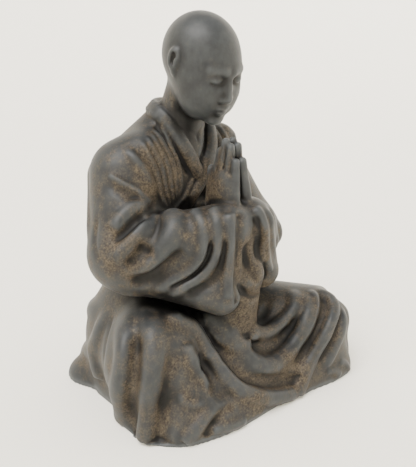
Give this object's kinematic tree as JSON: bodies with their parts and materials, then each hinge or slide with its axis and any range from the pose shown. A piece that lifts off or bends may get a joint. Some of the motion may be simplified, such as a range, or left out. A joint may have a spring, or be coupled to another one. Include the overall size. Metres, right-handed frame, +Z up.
{
  "type": "monk figurine",
  "caption": "Small cast figure of a seated monk in a draped robe, head bowed and palms pressed together, on a flat underside",
  "frame": {"origin": "centre of the bounding box's underside, on the surface the figure stands on", "axes": "+Z up along the figure's height, -Y the way the figure faces, +X to the figure's left"},
  "size_m": [0.1124, 0.094, 0.1501],
  "materials": {
    "monk_figure": "satin charcoal cast resin, rubbed with bronze in the folds"
  },
  "bodies": {
    "root": {"monk_figure": "monk_figure"}
  },
  "joints": []
}
